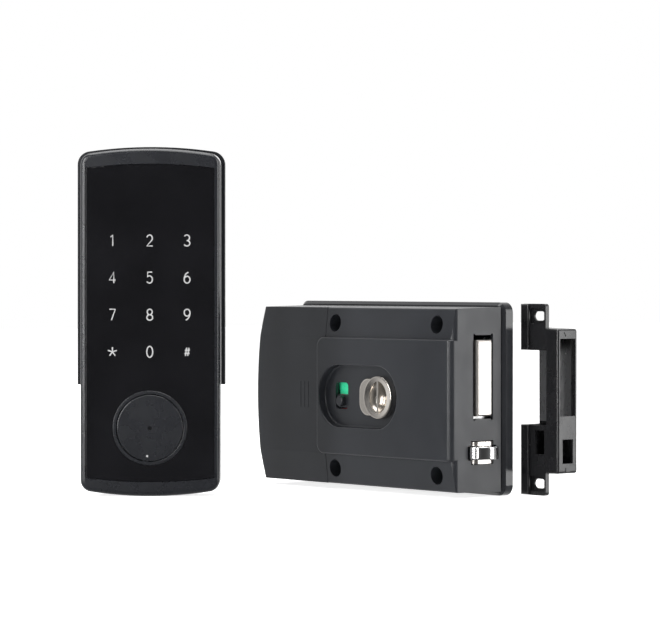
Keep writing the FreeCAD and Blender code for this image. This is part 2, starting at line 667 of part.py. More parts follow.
def drive_cam():
    """Disc clamped on the shaft with a crank pin that works in the bolt tail's slot."""
    body = new_body("lock_drive_cam")
    lean = "pin_reach * lean_share"
    arm = sketch_on(body, "XZ_Plane", "cam_back")
    circle(arm, "turn_x", "0", "2 * pin_reach + pin_wide + cam_rim")
    pad(body, arm, "cam_front - cam_back")
    pin = sketch_on(body, "XZ_Plane", "cam_front")
    circle(pin, "turn_x - " + lean, lean, "pin_wide")
    pad(body, pin, "tail_front - cam_front")
    bore = sketch_on(body, "XZ_Plane", "cam_front")
    circle(bore, "turn_x", "0", "spindle_wide")
    cut(body, bore, "cam_front - cam_back")
    trim = sketch_on(body, "XZ_Plane", "cam_front")
    rectangle(trim, "turn_x - 2 * pin_reach", "turn_x + 2 * pin_reach", "-2 * pin_reach",
              "-cam_trim")
    cut(body, trim, "cam_front - cam_back")
    return body


def deadbolt():
    body = new_body("lock_deadbolt")
    section = sketch_on(body, "YZ_Plane", "bolt_rear")
    rectangle(section, "-bolt_front", "-bolt_back", "bolt_low", "bolt_high")
    pad(body, section, "bolt_tip - bolt_rear")
    tip = size("bolt_tip")
    soften(body, lambda mid, edge: abs(mid.x - tip) < 0.01, "0.8", "Chamfer")
    return body


def bolt_tail():
    """Steel strip behind the bolt with the upright slot for the crank pin."""
    body = new_body("lock_bolt_tail")
    strip = sketch_on(body, "XZ_Plane", "tail_back")
    rectangle(strip, "tail_left", "bolt_rear", "tail_low", "tail_high")
    pad(body, strip, "tail_front - tail_back")
    slot = sketch_on(body, "XZ_Plane", "tail_front")
    pin_x = "turn_x - pin_reach * lean_share"
    round_rectangle(
        slot, pin_x + " - pin_slot / 2", pin_x + " + pin_slot / 2",
        "pin_reach * lean_share - pin_slot / 2 - 0.2", "pin_reach + pin_slot / 2 - 0.1",
        "pin_slot / 2 - 0.1",
    )
    cut(body, slot, "tail_front - tail_back")
    return body


def bolt_guide():
    """Open-topped saddle that holds the deadbolt behind the end wall."""
    body = new_body("lock_bolt_guide")
    outline = sketch_on(body, "YZ_Plane", "guide_left")
    rectangle(outline, "-bolt_front - guide_wall", "-on_floor", "bolt_low - guide_wall - 0.2",
              "bolt_high + 1")
    pad(body, outline, "guide_long")
    channel = sketch_on(body, "YZ_Plane", "guide_left - 1")
    rectangle(channel, "-bolt_front - guide_gap", "-bolt_back + guide_gap",
              "bolt_low - guide_gap", "bolt_high + 5")
    cut(body, channel, "guide_long + 2", along=True)
    return body


def latch_carriage():
    """Sliding block with two nosed fork plates either side of the roller."""
    body = new_body("lock_latch_carriage")
    block = sketch_on(body, "XY_Plane", "fork_low + carriage_rise")
    rectangle(block, "carriage_rear", "carriage_front", "-roller_y - nose_half",
              "-roller_y + nose_half")
    pad(body, block, "fork_high - fork_low - carriage_rise")
    for low, high in (
        ("roller_z + roller_tall / 2 + fork_gap", "fork_high"),
        ("fork_low", "roller_z - roller_tall / 2 - fork_gap"),
    ):
        plate = sketch_on(body, "XY_Plane", low)
        round_rectangle(plate, "carriage_front - fork_root", "nose_tip", "-roller_y - nose_half",
                        "-roller_y + nose_half", "nose_round")
        pad(body, plate, "%s - (%s)" % (high, low))
    axle = sketch_on(body, "XY_Plane", "fork_low + axle_short")
    circle(axle, "roller_x", "-roller_y", "axle_wide")
    pad(body, axle, "fork_high - fork_low - 2 * axle_short")
    return body


def latch_roller():
    body = new_body("lock_latch_roller")
    wheel = sketch_on(body, "XY_Plane", "roller_z - roller_tall / 2")
    circle(wheel, "roller_x", "-roller_y", "roller_wide")
    pad(body, wheel, "roller_tall")
    soften(body, lambda mid, edge: True, "0.5")
    bore = sketch_on(body, "XY_Plane", "roller_z + roller_tall / 2")
    circle(bore, "roller_x", "-roller_y", "axle_wide + 0.1")
    cut(body, bore, "roller_tall")
    return body


def latch_guide():
    """Bracket that carries the latch carriage and backs its spring."""
    body = new_body("lock_latch_guide")
    top = sketch_on(body, "XZ_Plane", "on_floor")
    wall_right = "bracket_left + bracket_wall"
    polygon(top, [
        ("bracket_left", "fork_high + 2"), ("bracket_left", "fork_low - 1.6"),
        ("bracket_foot", "fork_low - 1.6"), ("bracket_foot", "fork_low + carriage_rise - 0.3"),
        (wall_right, "fork_low + carriage_rise - 0.3"), (wall_right, "fork_high + 0.3"),
        ("bracket_right", "fork_high + 0.3"), ("bracket_right", "fork_high + 2"),
    ])
    pad(body, top, "bracket_deep")
    return body


def latch_spring():
    """Coil spring between the guide's rear wall and the carriage."""
    helix = doc.addObject("Part::Helix", "spring_path")
    helix.setExpression("Radius", cells("spring_wide / 2"))
    helix.setExpression("Pitch", cells("spring_long / 4"))
    helix.setExpression("Height", cells("spring_long"))
    wire = doc.addObject("Part::Circle", "spring_wire")
    wire.setExpression("Radius", cells("wire_wide / 2"))
    wire.Placement = FreeCAD.Placement(
        Vector(size("spring_wide / 2"), 0, 0), FreeCAD.Rotation(Vector(1, 0, 0), 90)
    )
    sweep = doc.addObject("Part::Sweep", "lock_latch_spring")
    sweep.Sections = [wire]
    sweep.Spine = (helix, ["Edge1"])
    sweep.Solid = True
    sweep.Frenet = True
    sweep.Placement = FreeCAD.Placement(
        Vector(size("spring_left"), -size("roller_y"), size("roller_z")),
        FreeCAD.Rotation(Vector(0, 1, 0), 90),
    )
    sweep.Label = "lock_latch_spring"
    return sweep


def privacy_slider():
    """Round button on a small plate, held behind the recess floor by a wider foot."""
    body = new_body("lock_privacy_slider")
    foot = sketch_on(body, "XZ_Plane", "slider_back")
    rectangle(foot, "slot_mid - slot_wide / 2 - 1.6", "slot_mid + slot_wide / 2 + 1.6",
              "slider_low", "slider_high")
    pad(body, foot, "roof - 0.25 - slider_back")
    plate = sketch_on(body, "XZ_Plane", "roof - 0.6")
    round_rectangle(plate, "slot_mid - slot_wide / 2 + 0.2", "slot_mid + slot_wide / 2 - 0.2",
                    "slider_low + 0.6", "slider_high", "slot_round - 0.1")
    pad(body, plate, "slider_front - roof + 0.6")
    button = sketch_on(body, "XZ_Plane", "slider_front - 0.5")
    circle(button, "slot_mid", "(slider_low + slider_high) / 2 + 0.2", "button_wide")
    pad(body, button, "button_front - slider_front + 0.5")
    front = -size("button_front")
    soften(body, lambda mid, edge: abs(mid.y - front) < 0.01, "0.5")
    return body


def chassis():
    """Steel plate on the base floor, cleared round shaft, board and screw tubes."""
    body = new_body("lock_chassis")
    outline = sketch_on(body, "XZ_Plane", "base_floor")
    rectangle(outline, "chassis_left", "chassis_right", "-chassis_half", "chassis_half")
    pad(body, outline, "chassis_thick")
    bore = sketch_on(body, "XZ_Plane", "base_floor + chassis_thick")
    circle(bore, "turn_x", "0", "spindle_wide + 1")
    cut(body, bore, "chassis_thick")
    return body


def circuit_board():
    board = box_part("board_sheet", "board_left", "board_right", "board_front", "board_back",
                     "-board_half", "board_half")
    chip = box_part("board_chip", "-11", "-3", "chip_front", "board_front", "8", "16")
    socket = box_part("board_socket", "-12", "-2", "socket_front", "board_front", "-26", "-19")
    return combine("lock_circuit_board", [board, chip, socket], "Part::MultiFuse")


def motor():
    """Gear motor standing beside the shaft, its worm up against the drive wheel."""
    can = rod("motor_can", "motor_x", "motor_y", "motor_low", "motor_wide", "motor_long", "z")
    gearhead = box_part("motor_gearhead", "motor_x - gear_half", "motor_x + gear_half",
                        "motor_y + gear_half", "motor_y - gear_half", "gear_low", "gear_high")
    return combine("lock_motor", [can, gearhead], "Part::MultiFuse")


def worm():
    body = new_body("lock_worm")
    stem = sketch_on(body, "XY_Plane", "gear_high + 0.3")
    circle(stem, "motor_x", "-motor_y", "stem_wide")
    pad(body, stem, "4")
    barrel = sketch_on(body, "XY_Plane", "-worm_half")
    circle(barrel, "motor_x", "-motor_y", "worm_wide")
    pad(body, barrel, "2 * worm_half")
    return body


def drive_wheel():
    """Wheel on the thumb-turn shaft; shallow tooth gaps all round."""
    body = new_body("lock_drive_wheel")
    wheel = sketch_on(body, "XZ_Plane", "wheel_back")
    circle(wheel, "turn_x", "0", "wheel_wide")
    pad(body, wheel, "wheel_thick")
    bore = sketch_on(body, "XZ_Plane", "wheel_back + wheel_thick")
    circle(bore, "turn_x", "0", "spindle_wide")
    cut(body, bore, "wheel_thick")
    gap = sketch_on(body, "XZ_Plane", "wheel_back + wheel_thick")
    rectangle(gap, "turn_x + tooth_from", "turn_x + tooth_to", "-tooth_half", "tooth_half")
    tooth = cut(body, gap, "wheel_thick")
    ring = body.newObject("PartDesign::PolarPattern", "wheel_teeth")
    ring.Originals = [tooth]
    ring.Axis = (wheel, ["N_Axis"])
    ring.Angle = 360
    ring.Occurrences = 24
    ring.Placement = FreeCAD.Placement()
    body.Tip = ring
    doc.recompute()
    return body


def position_sensor():
    return box_part("lock_position_sensor", "sensor_left", "sensor_right", "sensor_front",
                    "on_floor", "sensor_low", "sensor_high")


def flag(label, low, high):
    """One colour of the strip seen through the slider's slot."""
    return box_part(label, "slot_mid - slot_wide / 2 - 1.6", "slot_mid + slot_wide / 2 + 1.6",
                    "flag_front", "flag_back", low, high)


def flag_carrier():
    return box_part("lock_flag_carrier", "slot_mid - strip_half", "slot_mid + strip_half",
                    "flag_back", "flag_back - strip_thick", "-strip_tall - 1", "strip_tall + 1")


# --------------------------------------------------------------- keypad unit

def arched_plate(label, back, front, wide, low, high, arc, radius):
    body = new_body(label)
    outline = sketch_on(body, "XZ_Plane", back)
    arched(outline, wide, low, high, arc)
    pad(body, outline, "%s - (%s)" % (front, back))
    soften(body, lambda mid, edge: runs_along(edge, "y"), radius)
    return body


def keypad_gasket():
    body = arched_plate("keypad_gasket", "0", "gasket_thick", "pad_wide - 2", "1", "pad_tall - 1",
                        "pad_arc", "pad_round")
    room = sketch_on(body, "XZ_Plane", "gasket_thick")
    rectangle(room, "-gasket_side", "gasket_side", "gasket_low", "gasket_high")
    cut(body, room, "gasket_thick")
    return body


def keypad_back_plate():
    """Steel mounting plate with cylinder, cable and post holes."""
    body = arched_plate("keypad_back_plate", "gasket_thick", "pad_back", "pad_wide - 0.6", "0.4",
                        "pad_tall - 0.3", "pad_arc", "pad_round")
    holes = sketch_on(body, "XZ_Plane", "pad_back")
    circle(holes, "0", "cap_z", "plug_wide - 1")
    round_rectangle(holes, "-cord_half", "cord_half", "cord_low", "cord_high", "cord_round")
    for up in ("post_low", "post_high"):
        circle(holes, "0", up, "post_wide + 0.2")
    cut(body, holes, "pad_back")
    return body


def keypad_shroud():
    """Wider rear band round the upper two thirds, open below."""
    outer = arched_plate("shroud_outer", "gasket_thick", "shroud_deep", "shroud_wide", "shroud_low - 8",
                         "shroud_top", "pad_arc", "pad_round + 0.8")
    inner = arched_plate("shroud_inner", "0", "shroud_deep + 2", "pad_wide + 0.6", "10",
                         "pad_tall + 0.3", "pad_arc", "pad_round")
    foot = box_part("shroud_foot", "-40", "40", "shroud_deep + 2", "0", "20", "shroud_low")
    return subtract("keypad_shroud", outer, [inner, foot])


def keypad_bezel():
    """Front housing: bowed ends, round outer edge, window for the touch glass."""
    body = arched_plate("keypad_bezel", "pad_back", "pad_front", "pad_wide", "0", "pad_tall",
                        "pad_arc", "pad_round")
    front = -size("pad_front")
    soften(body, lambda mid, edge: abs(mid.y - front) < 0.01, "pad_edge")
    room = sketch_on(body, "XZ_Plane", "pad_back")
    rectangle(room, "-pad_wide / 2 + wall", "pad_wide / 2 - wall", "7", "pad_tall - 8")
    cut(body, room, "pad_front - pad_back - pad_roof", along=True)
    ledge = sketch_on(body, "XZ_Plane", "pad_back")
    rectangle(ledge, "-glass_wide / 2 + 2.5", "glass_wide / 2 - 2.5", "ledge_low", "ledge_high")
    cut(body, ledge, "pad_front", along=True)
    window = sketch_on(body, "XZ_Plane", "pad_front")
    arched(window, "glass_wide + 0.2", "glass_low - 0.1", "glass_high + 0.1", "glass_arc")
    cut(body, window, "glass_deep + 0.1")
    return body


def keypad_glass():
    body = arched_plate("keypad_glass", "pad_front - glass_deep", "pad_front - 0.15",
                        "glass_wide", "glass_low", "glass_high", "glass_arc", "0.2")
    front = -size("pad_front - 0.15")
    soften(body, lambda mid, edge: abs(mid.y - front) < 0.01, "0.3")
    hole = sketch_on(body, "XZ_Plane", "pad_front")
    circle(hole, "0", "cap_z", "ring_wide + 0.2")
    cut(body, hole, "5")
    return body


def keypad_touch_board():
    """Board behind the glass with twelve round sensing pads."""
    body = new_body("keypad_touch_board")
    outline = sketch_on(body, "XZ_Plane", "pad_front - glass_deep - 1.7")
    rectangle(outline, "-touch_half", "touch_half", "touch_low", "touch_high")
    pad(body, outline, "1.2")
    pads = sketch_on(body, "XZ_Plane", "pad_front - glass_deep - 0.5")
    for across in ("-key_across", "0", "key_across"):
        circle(pads, across, "key_low", "key_pad")
    first = pad(body, pads, "0.3")
    rows = body.newObject("PartDesign::LinearPattern", "rows_of_pads")
    rows.Originals = [first]
    rows.Direction = (pads, ["V_Axis"])
    rows.setExpression("Length", cells("3 * key_up"))
    rows.Occurrences = 4
    body.Tip = rows
    doc.recompute()
    return body


def keypad_ring():
    body = new_body("keypad_ring")
    outer = sketch_on(body, "XZ_Plane", "pad_front - 3.4")
    circle(outer, "0", "cap_z", "ring_wide")
    circle(outer, "0", "cap_z", "ring_inner")
    pad(body, outer, "3.6")
    front = -size("pad_front + 0.2")
    soften(body, lambda mid, edge: abs(mid.y - front) < 0.01, "0.3")
    return body


def keypad_cap():
    """Push-fit cover over the key cylinder, with a small hole to pull it by."""
    body = new_body("keypad_cylinder_cap")
    disc = sketch_on(body, "XZ_Plane", "pad_front - 2.2")
    circle(disc, "0", "cap_z", "cap_wide")
    pad(body, disc, "cap_front - pad_front + 2.2")
    front = -size("cap_front")
    soften(body, lambda mid, edge: abs(mid.y - front) < 0.01, "0.5")
    skirt = sketch_on(body, "XZ_Plane", "plug_front + 0.6")
    circle(skirt, "0", "cap_z", "skirt_wide")
    circle(skirt, "0", "cap_z", "skirt_inner")
    pad(body, skirt, "pad_front - 2 - plug_front - 0.6")
    hole = sketch_on(body, "XZ_Plane", "cap_front")
    circle(hole, "0", "cap_z", "pinhole")
    cut(body, hole, "1.4")
    return body


def cylinder_housing():
    body = new_body("keypad_cylinder_housing")
    outer = sketch_on(body, "XZ_Plane", "pad_back")
    circle(outer, "0", "cap_z", "cylinder_wide")
    pad(body, outer, "plug_front - pad_back")
    bore = sketch_on(body, "XZ_Plane", "plug_front")
    circle(bore, "0", "cap_z", "plug_wide + 0.1")
    cut(body, bore, "plug_front")
    return body


def cylinder_plug():
    """Plug with a keyway and the flat tail that reaches through the door."""
    body = new_body("keypad_cylinder_plug")
    barrel = sketch_on(body, "XZ_Plane", "pad_back + 0.3")
    circle(barrel, "0", "cap_z", "plug_wide")
    pad(body, barrel, "plug_front - pad_back - 0.3")
    keyway = sketch_on(body, "XZ_Plane", "plug_front")
    rectangle(keyway, "-key_wide / 2", "key_wide / 2", "cap_z - key_tall / 2",
              "cap_z + key_tall / 2")
    cut(body, keyway, "plug_front - pad_back - 3")
    return body


def keypad_tailpiece():
    return box_part("keypad_tailpiece", "-0.8", "0.8", "pad_back + 0.3", "-tail_reach",
                    "cap_z - 3", "cap_z + 3")


def keypad_posts():
    posts = []
    for number, up in enumerate(("post_low", "post_high")):
        outer = rod("post_outer_%d" % number, "0", "0.2", up, "post_wide", "post_long", "f")
        bore = rod("post_bore_%d" % number, "0", "-0.5", up, "post_bore", "post_long - 1", "f")
        posts.append(subtract("post_%d" % number, outer, [bore]))
    return combine("keypad_posts", posts)


def keypad_screws():
    screws = []
    spots = [(across, up) for up in ("screw_lower", "screw_upper")
             for across in ("-screw_side", "screw_side")]
    for number, (across, up) in enumerate(spots):
        head = rod("screw_head_%d" % number, across, "pad_back", up, "4", "1.2", "f")
        shank = rod("screw_shank_%d" % number, across, "pad_back", up, "2", "5", "f")
        screws.append(combine("screw_%d" % number, [head, shank], "Part::MultiFuse"))
    return combine("keypad_screws", screws)


def keypad_main_board():
    board = box_part("main_sheet", "-main_half", "main_half", "main_front", "main_back",
                     "main_low", "main_high")
    chip = box_part("main_chip", "-chip_half", "chip_half", "main_back", "main_back - 1.6",
                    "108", "124")
    socket = box_part("main_socket", "-chip_half", "chip_half", "main_back", "5",
                      "cord_low + 1", "cord_high - 1")
    return combine("keypad_main_board", [board, chip, socket], "Part::MultiFuse")


def keypad_buzzer():
    return rod("keypad_buzzer", "buzzer_x", "main_front", "buzzer_z", "buzzer_wide", "2.2", "f")


# --------------------------------------------------------------------- strike

def strike_body():
    """Hollow keeper box with thin screw lugs; a notch on its left shows the back wall."""
    body = new_body("strike_body")
    outline = sketch_on(body, "XZ_Plane", "-box_deep")
    polygon(outline, [
        ("-strike_wide", "-box_low - box_taper"), ("0", "-box_low"),
        ("0", "box_high"), ("-strike_wide", "box_high + box_taper"),
    ])
    pad(body, outline, "box_deep")
    soften(body, lambda mid, edge: mid.x > -1 and runs_along(edge, "y"), "1.2")
    soften(body, lambda mid, edge: abs(mid.x) < 0.01 and runs_along(edge, "z"), "1")
    lugs = sketch_on(body, "XZ_Plane", "-lug_deep")
    for low, high in (("-strike_half", "-box_low + 2"), ("box_high - 2", "strike_half - 0.7")):
        round_rectangle(lugs, "-strike_wide", "-lug_right", low, high, "lug_round")
    pad(body, lugs, "lug_deep")
    rail = sketch_on(body, "XZ_Plane", "-1")
    for low, high in (("notch_high", "strike_half - 0.8"), ("-strike_half + 0.1", "notch_low")):
        rectangle(rail, "-strike_wide", "-strike_wide + rail_wide", low, high)
    pad(body, rail, "1 + rail_proud")
    proud = -size("rail_proud")
    soften(body, lambda mid, edge: abs(mid.y - proud) < 0.01, "rail_edge")
    room = sketch_on(body, "YZ_Plane", "-strike_wide + skin")
    rectangle(room, "skin", "box_deep - skin", "-box_low + 2", "box_high - 2")
    cut(body, room, "strike_wide - 2 * skin", along=True)
    notch = sketch_on(body, "XZ_Plane", "beyond")
    rectangle(notch, "-strike_wide - 1", "-notch_right", "notch_low", "notch_high")
    cut(body, notch, "beyond + box_deep - skin")
    window = sketch_on(body, "XZ_Plane", "beyond")
    rectangle(window, "port_left", "port_right", "port_low", "port_high")
    cut(body, window, "beyond + skin + 0.5")
    slots = sketch_on(body, "YZ_Plane", "-skin - 1")
    rectangle(slots, "skin", "box_deep - skin", "bolt_low - 0.5", "bolt_high + 0.5")
    rectangle(slots, "3", "box_deep - 3", "fork_low - 0.6", "fork_high + 0.6")
    cut(body, slots, "skin + 2", along=True)
    dishes = sketch_on(body, "XZ_Plane", "beyond")
    for middle in ("lug_mid", "lug_lower"):
        round_rectangle(dishes, "-strike_wide + rail_wide", "-lug_right - 1.1",
                        middle + " - dish_half", middle + " + dish_half", "dish_round")
    cut(body, dishes, "beyond + lug_deep - dish_deep")
    screws = sketch_on(body, "XZ_Plane", "0")
    for middle in ("lug_mid", "lug_lower"):
        stadium(screws, "-lug_screw", middle, "lug_slot", "lug_bore")
    cut(body, screws, "lug_deep + 1")
    clips = sketch_on(body, "YZ_Plane", "-0.5")
    polygon(clips, [
        ("4", "box_high - 1.4"), ("5.2", "box_high - 3.6"),
        ("7.6", "box_high - 3.6"), ("8.8", "box_high - 1.4"),
    ])
    rectangle(clips, "5", "7.6", "-box_low + 0.9", "-box_low + 2.6")
    pad(body, clips, "0.8")
    return body


def strike_magnet():
    """Small magnet seated in the box for the door sensor."""
    return box_part("strike_magnet", "magnet_left", "magnet_right", "-skin - 0.1",
                    "-skin - 0.1 - magnet_deep", "magnet_low", "magnet_high")


def strike_liner():
    """Metal liner plate against the back wall, where the bolt lands."""
    return box_part("strike_liner", "-strike_wide + skin + 0.1", "liner_right",
                    "-box_deep + skin + liner_thick", "-box_deep + skin", "liner_low",
                    "liner_high")


# ------------------------------------------------------------------- assembly

for maker in (
    lock_base, lock_cover, battery_cover, battery_tray, battery_cells, battery_contacts,
    chassis, circuit_board, motor, worm, drive_wheel, drive_cam, thumb_turn, deadbolt,
    bolt_tail, bolt_guide, latch_carriage, latch_roller, latch_guide, latch_spring,
    privacy_slider, flag_carrier, position_sensor,
):
    keep(maker())
keep(flag("lock_flag_green", "slider_high + 0.1", "strip_tall"))
keep(flag("lock_flag_red", "-strip_tall", "slider_high + 0.1"))
for maker in (
    keypad_gasket, keypad_back_plate, keypad_shroud, keypad_bezel, keypad_glass,
    keypad_touch_board, keypad_ring, keypad_cap, cylinder_housing, cylinder_plug,
    keypad_tailpiece, keypad_posts, keypad_screws, keypad_main_board, keypad_buzzer,
):
    keep(maker(), "keypad")
for maker in (strike_body, strike_magnet, strike_liner):
    keep(maker(), "strike")
doc.recompute()

upright = Vector(0, 0, 1)
FRAMES = {
    "lock": FreeCAD.Placement(),
    "keypad": FreeCAD.Placement(
        Vector(size("keypad_place_x"), size("keypad_place_y"), size("stand_low")),
        FreeCAD.Rotation(upright, size("keypad_yaw")),
    ),
    "strike": FreeCAD.Placement(
        Vector(size("strike_place_x"), size("strike_place_y"), 0), FreeCAD.Rotation(),
    ),
}


def check(item):
    """Stop on anything invalid before a file is written."""
    if {"Invalid", "Error"} & set(item.State):
        raise RuntimeError("%s: %s" % (item.Name, item.State))
    if item.isDerivedFrom("Part::Feature"):
        if item.Shape.isNull() or not item.Shape.isValid():
            raise RuntimeError("%s has no valid shape" % item.Name)


for item in doc.Objects:
    check(item)
os.makedirs("parts", exist_ok=True)
for node, unit in NODES:
    for path in ("x", "y", "z"):
        node.setExpression(".Placement.Base." + path, None)
    node.Placement = FRAMES[unit].multiply(node.Placement)
    node.recompute()
    solids = node.Shape.Solids
    if not solids:
        raise RuntimeError("%s has no solid" % node.Label)
    node.Shape.exportStep("parts/%s.step" % node.Label)
    box = node.Shape.BoundBox
    print("%-26s %2d solid(s) %8.1f mm3  x %6.1f %6.1f  y %6.1f %6.1f  z %6.1f %6.1f" % (
        node.Label, len(solids), node.Shape.Volume,
        box.XMin, box.XMax, box.YMin, box.YMax, box.ZMin, box.ZMax,
    ))
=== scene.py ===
import json
import math

import bpy
from mathutils import Matrix, Vector


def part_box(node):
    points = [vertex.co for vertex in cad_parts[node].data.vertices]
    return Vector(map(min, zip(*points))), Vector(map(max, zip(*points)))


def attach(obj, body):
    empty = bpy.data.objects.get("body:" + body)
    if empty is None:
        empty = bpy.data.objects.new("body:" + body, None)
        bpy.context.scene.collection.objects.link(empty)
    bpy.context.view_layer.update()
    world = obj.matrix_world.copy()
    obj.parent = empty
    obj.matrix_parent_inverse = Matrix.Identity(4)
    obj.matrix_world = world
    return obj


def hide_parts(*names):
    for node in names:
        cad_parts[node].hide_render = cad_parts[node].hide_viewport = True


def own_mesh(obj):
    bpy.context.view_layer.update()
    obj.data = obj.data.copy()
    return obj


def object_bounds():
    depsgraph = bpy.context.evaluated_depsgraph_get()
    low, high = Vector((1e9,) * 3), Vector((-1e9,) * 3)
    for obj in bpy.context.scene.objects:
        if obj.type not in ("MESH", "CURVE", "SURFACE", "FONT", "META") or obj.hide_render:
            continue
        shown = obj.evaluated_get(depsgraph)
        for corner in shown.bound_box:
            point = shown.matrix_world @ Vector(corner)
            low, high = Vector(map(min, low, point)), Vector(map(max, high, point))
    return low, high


# Looks of a keypad smart lock in three units that stand side by side: an outdoor touch keypad,
# the indoor rim lock and the strike for the door frame.  Metres, row frame, +Z up.

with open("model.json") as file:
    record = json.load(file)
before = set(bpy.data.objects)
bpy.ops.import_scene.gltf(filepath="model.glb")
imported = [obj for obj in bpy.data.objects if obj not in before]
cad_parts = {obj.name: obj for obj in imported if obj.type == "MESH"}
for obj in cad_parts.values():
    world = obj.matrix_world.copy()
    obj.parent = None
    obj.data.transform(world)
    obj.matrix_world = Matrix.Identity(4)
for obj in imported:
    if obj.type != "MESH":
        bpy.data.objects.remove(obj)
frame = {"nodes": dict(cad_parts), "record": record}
CAD_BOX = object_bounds()
NODES = frame["nodes"]
RECORD = frame["record"]
UP = Vector((0, 0, 1))
MM = 0.001


def put_in_scene(name, data):
    """New object around a mesh, curve, light or camera, linked to the scene."""
    thing = bpy.data.objects.new(name, data)
    bpy.context.scene.collection.objects.link(thing)
    return thing


# ---------------------------------------------------------------- camera

EYE = Vector((1.1361, -0.9863, 0.0576))
LOOK = Vector((-0.7716, 0.6361, 0)).normalized()
ASIDE = LOOK.cross(UP)      # to the right of the picture
LENS = 165.7                # mm, on a sensor SENSOR mm wide
SENSOR = 36
FRAME_SHIFT = -0.0644       # in picture widths, downward where negative
FAR_CLIP = 50


def place_camera():
    data = bpy.data.cameras.new("camera")
    data.sensor_width = SENSOR
    data.lens = LENS
    data.shift_y = FRAME_SHIFT
    data.clip_end = FAR_CLIP
    camera = put_in_scene("camera", data)
    camera.location = EYE
    camera.rotation_euler = LOOK.to_track_quat("-Z", "Y").to_euler()
    bpy.context.scene.camera = camera


place_camera()


# ------------------------------------------------------------ node helpers

# Noise values at which a drift between two looks begins and ends.
DRIFT_LOW = 0.3
DRIFT_HIGH = 0.7


def set_stops(ramp, stops):
    """Stops of a colour ramp node, each a place and a (red, green, blue)."""
    elements = ramp.color_ramp.elements
    while len(elements) < len(stops):
        elements.new(0.5)
    for element, (place, colour) in zip(elements, stops):
        element.position = place
        element.color = (*colour, 1)


class Paint:
    """A node material, written one node at a time."""

    def __init__(self, name):
        self.material = bpy.data.materials.new(name)
        self.material.use_nodes = True
        self.tree = self.material.node_tree
        self.shader = self.tree.nodes["Principled BSDF"]
        self.where = self.tree.nodes.new("ShaderNodeTexCoord").outputs["Object"]

    def add(self, kind, **settings):
        node = self.tree.nodes.new("ShaderNode" + kind)
        for name, value in settings.items():
            setattr(node, name, value)
        return node

    def link(self, source, target):
        self.tree.links.new(source, target)

    def put(self, **values):
        """Uniform values, straight on the shader's sockets."""
        for name, value in values.items():
            self.shader.inputs[name.replace("_", " ")].default_value = value

    def stretched(self, along):
        """Object coordinates scaled per axis, for brushed or drawn surfaces."""
        mapping = self.add("Mapping")
        mapping.inputs["Scale"].default_value = along
        self.link(self.where, mapping.inputs["Vector"])
        return mapping.outputs["Vector"]

    def noise(self, scale, detail=2.0, where=None):
        node = self.add("TexNoise")
        node.inputs["Scale"].default_value = scale
        node.inputs["Detail"].default_value = detail
        self.link(where or self.where, node.inputs["Vector"])
        return node.outputs["Fac"]

    def ramp(self, source, stops):
        node = self.add("ValToRGB")
        set_stops(node, stops)
        self.link(source, node.inputs["Fac"])
        return node.outputs["Color"]

    def mottle(self, base, amount, scale):
        """Base colour that drifts a little lighter and darker over the surface."""
        dark = [c * (1 - amount) for c in base]
        light = [min(1.0, c * (1 + amount)) for c in base]
        drift = self.noise(scale, detail=3.0)
        colour = self.ramp(drift, [(DRIFT_LOW, dark), (DRIFT_HIGH, light)])
        self.link(colour, self.shader.inputs["Base Color"])

    def rough(self, low, high, scale, detail=3.0, where=None):
        """Roughness that drifts between two values over the surface."""
        drift = self.noise(scale, detail, where)
        shade = self.ramp(drift, [(DRIFT_LOW, (low,) * 3), (DRIFT_HIGH, (high,) * 3)])
        self.link(shade, self.shader.inputs["Roughness"])

    def bump(self, height, strength, depth):
        node = self.add("Bump")
        node.inputs["Strength"].default_value = strength
        node.inputs["Distance"].default_value = depth
        self.link(height, node.inputs["Height"])
        self.link(node.outputs["Normal"], self.shader.inputs["Normal"])


# --------------------------------------------------------------- materials

def satin_plastic(name, base, low, high):
    """Moulded housing: spark-eroded grain and faint flow marks."""
    paint = Paint(name)
    paint.mottle(base, amount=0.10, scale=35)
    paint.rough(low, high, scale=90)
    paint.bump(paint.noise(scale=2600, detail=1.5), strength=0.12, depth=0.02 * MM)
    paint.put(Specular_IOR_Level=0.5)
    return paint.material


def coated_metal(name, base, low, high):
    """Die-cast metal under a thin dark coat with slight orange peel."""
    paint = Paint(name)
    paint.mottle(base, amount=0.08, scale=60)
    paint.rough(low, high, scale=140)
    paint.bump(paint.noise(scale=900), strength=0.10, depth=0.02 * MM)
    paint.put(Specular_IOR_Level=0.6, Coat_Weight=0.25, Coat_Roughness=0.2)
    return paint.material


def brushed_metal(name, base, low, high, along):
    """Metal with fine drawn lines; along is small on the axis the lines run."""
    paint = Paint(name)
    lines = paint.stretched(along)
    paint.mottle(base, amount=0.03, scale=80)
    paint.rough(low, high, scale=1.0, detail=2.0, where=lines)
    paint.bump(paint.noise(scale=1.0, where=lines), strength=0.04, depth=0.01 * MM)
    paint.put(Metallic=1.0)
    return paint.material


def polished_metal(name, base):
    paint = Paint(name)
    paint.mottle(base, amount=0.03, scale=120)
    paint.rough(low=0.14, high=0.20, scale=400)
    paint.bump(paint.noise(scale=500), strength=0.05, depth=0.01 * MM)
    paint.put(Metallic=1.0)
    return paint.material


def black_glass(name):
    """Glossy touch panel with a faint wipe haze."""
    paint = Paint(name)
    paint.mottle((0.006, 0.006, 0.007), amount=0.25, scale=25)
    paint.rough(low=0.04, high=0.10, scale=18, detail=4.0)
    paint.bump(paint.noise(scale=40), strength=0.02, depth=0.05 * MM)
    paint.put(Specular_IOR_Level=0.5)
    return paint.material


def rubber(name):
    paint = Paint(name)
    paint.mottle((0.02, 0.02, 0.02), amount=0.2, scale=300)
    paint.rough(low=0.7, high=0.9, scale=500)
    paint.bump(paint.noise(scale=1800), strength=0.5, depth=0.08 * MM)
    return paint.material


